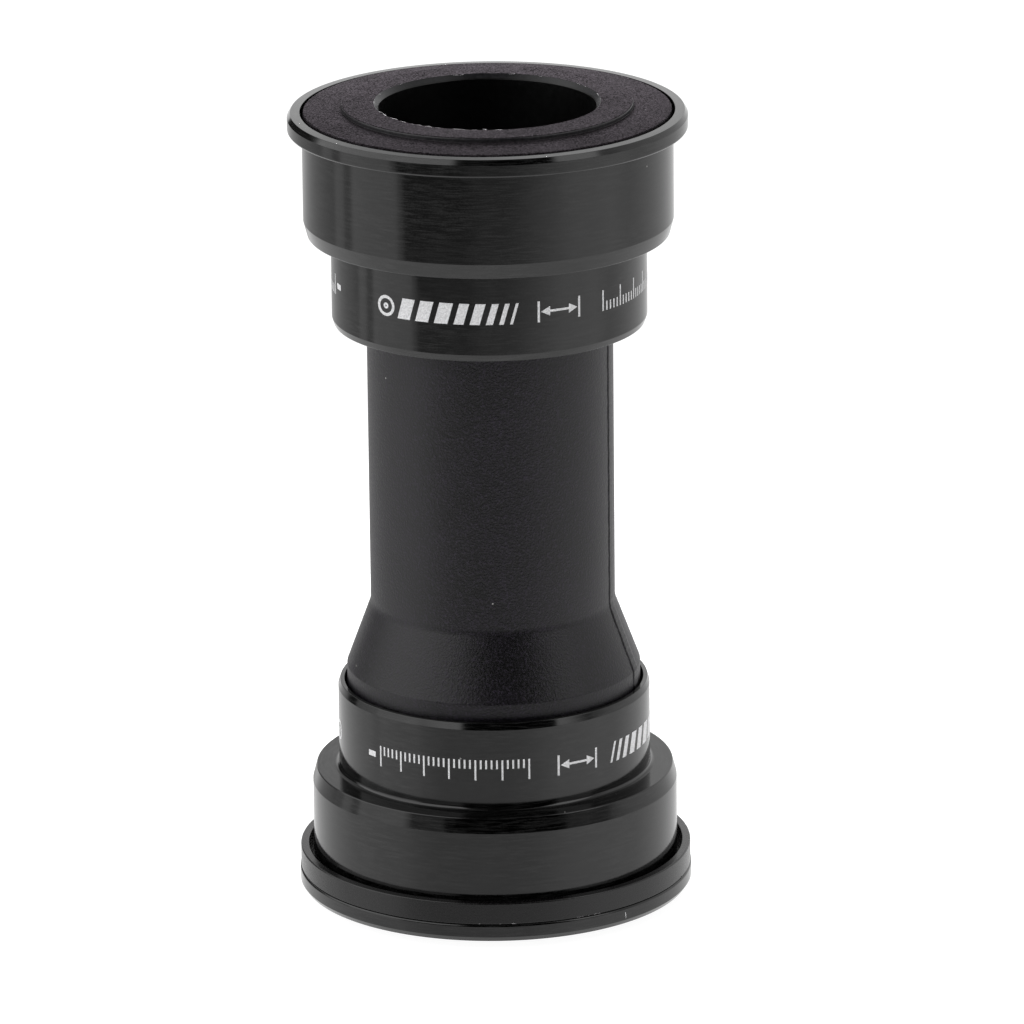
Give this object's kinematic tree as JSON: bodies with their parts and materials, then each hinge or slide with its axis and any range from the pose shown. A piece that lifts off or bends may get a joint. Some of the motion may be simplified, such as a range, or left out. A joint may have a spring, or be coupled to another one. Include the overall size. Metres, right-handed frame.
{
  "type": "bottom bracket",
  "caption": "Press-fit bicycle bottom bracket: flanged black cups with sealed cartridge bearings and rotating dust covers, joined by a flared centre sleeve, with a loose spacer ring.",
  "frame": {"origin": "on the spindle axis, at the outer face of the drive-side dust cover's boss, the lowest plane of the standing unit", "axes": "+Z along the spindle axis from the drive side to the non-drive side; the unit is round about Z, so +X and +Y are any two square directions across it"},
  "size_m": [0.0442, 0.0442, 0.0913],
  "materials": {
    "cup_anodised": "black anodised, turned, semi-gloss",
    "cover_plastic": "matte moulded, fine grain",
    "sleeve_plastic": "matte moulded, fine grain",
    "spacer_plastic": "satin moulded",
    "bearing_steel": "ground",
    "ball_steel": "polished",
    "cage_nylon": "moulded nylon",
    "seal_rubber": "matte moulded rubber",
    "o_ring_rubber": "smooth rubber"
  },
  "bodies": {
    "drive_cup_unit": {"drive_side_cup": "cup_anodised", "drive_side_bearing_outer_race": "bearing_steel", "drive_side_bearing_outboard_seal": "seal_rubber", "drive_side_bearing_inboard_seal": "seal_rubber"},
    "drive_rotor": {"drive_side_dust_cover": "cover_plastic", "drive_side_cover_lip": "seal_rubber", "drive_side_bearing_inner_race": "bearing_steel"},
    "drive_ball_set": {"drive_side_bearing_balls": "ball_steel", "drive_side_ball_cage": "cage_nylon"},
    "sleeve_unit": {"centre_sleeve": "sleeve_plastic", "sleeve_flared_end_o_ring": "o_ring_rubber"},
    "non_drive_cup_unit": {"non_drive_side_cup": "cup_anodised", "non_drive_side_bearing_outer_race": "bearing_steel", "non_drive_side_bearing_outboard_seal": "seal_rubber", "non_drive_side_bearing_inboard_seal": "seal_rubber", "sleeve_plain_end_o_ring": "o_ring_rubber"},
    "non_drive_rotor": {"non_drive_side_dust_cover": "cover_plastic", "non_drive_side_cover_lip": "seal_rubber", "non_drive_side_bearing_inner_race": "bearing_steel"},
    "non_drive_ball_set": {"non_drive_side_bearing_balls": "ball_steel", "non_drive_side_ball_cage": "cage_nylon"},
    "spacer_ring": {"shell_width_spacer": "spacer_plastic"}
  },
  "joints": [
    {"name": "drive_rotor_spin", "type": "hinge", "parent": "drive_cup_unit", "child": "drive_rotor", "pos_m": [0, 0, 0.00585], "axis": [0, 0, 1], "continuous": true},
    {"name": "drive_ball_set_orbit", "type": "hinge", "parent": "drive_cup_unit", "child": "drive_ball_set", "pos_m": [0, 0, 0.00585], "axis": [0, 0, 1], "continuous": true},
    {"name": "sleeve_slide", "type": "slide", "parent": "drive_cup_unit", "child": "sleeve_unit", "axis": [0, 0, 1], "range_m": [0, 0.012]},
    {"name": "non_drive_cup_slide", "type": "slide", "parent": "sleeve_unit", "child": "non_drive_cup_unit", "axis": [0, 0, 1], "range_m": [0, 0.03]},
    {"name": "non_drive_rotor_spin", "type": "hinge", "parent": "non_drive_cup_unit", "child": "non_drive_rotor", "pos_m": [0, 0, 0.08545], "axis": [0, 0, 1], "continuous": true},
    {"name": "non_drive_ball_set_orbit", "type": "hinge", "parent": "non_drive_cup_unit", "child": "non_drive_ball_set", "pos_m": [0, 0, 0.08545], "axis": [0, 0, 1], "continuous": true},
    {"name": "spacer_slide", "type": "slide", "parent": "drive_cup_unit", "child": "spacer_ring", "axis": [0, 0, 1], "range_m": [0, 0.0825]}
  ],
  "couplings": [
    {"joint": "drive_ball_set_orbit", "follows": "drive_rotor_spin", "ratio": 0.4435},
    {"joint": "non_drive_ball_set_orbit", "follows": "non_drive_rotor_spin", "ratio": 0.4435}
  ]
}
